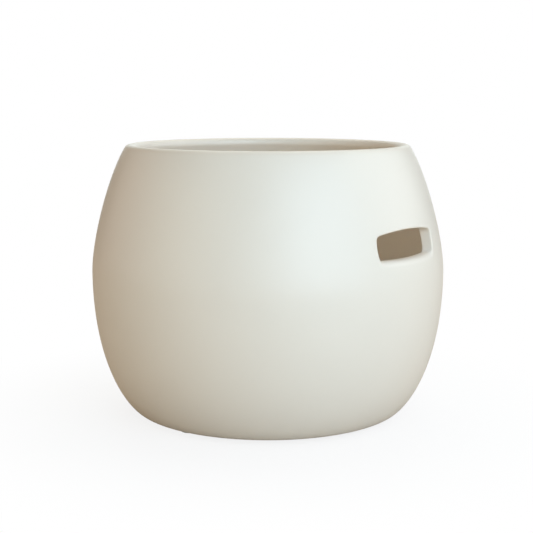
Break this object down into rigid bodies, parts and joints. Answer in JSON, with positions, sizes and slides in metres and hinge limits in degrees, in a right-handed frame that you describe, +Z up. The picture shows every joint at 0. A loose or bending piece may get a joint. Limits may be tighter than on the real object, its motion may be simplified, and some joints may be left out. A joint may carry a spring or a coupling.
{
  "type": "yarn bowl",
  "caption": "Round glazed stoneware yarn bowl with a narrower open mouth, a wide rounded yarn slot through one side, and non-slip pads under its foot ring.",
  "frame": {"origin": "on the bowl's axis, at the surface that the pads stand on", "axes": "+Z up along the bowl's axis, towards the mouth; the yarn slot faces -Y; +X is to the right when looking at the slot"},
  "size_m": [0.16, 0.16, 0.1224],
  "materials": {
    "glazed_stoneware": "warm white satin-gloss glaze over stoneware; the flat foot ring is wiped bare",
    "soft_pad": "milky matte silicone"
  },
  "bodies": {
    "root": {"bowl": "glazed_stoneware", "pad_1": "soft_pad", "pad_2": "soft_pad", "pad_3": "soft_pad", "pad_4": "soft_pad"}
  },
  "joints": []
}
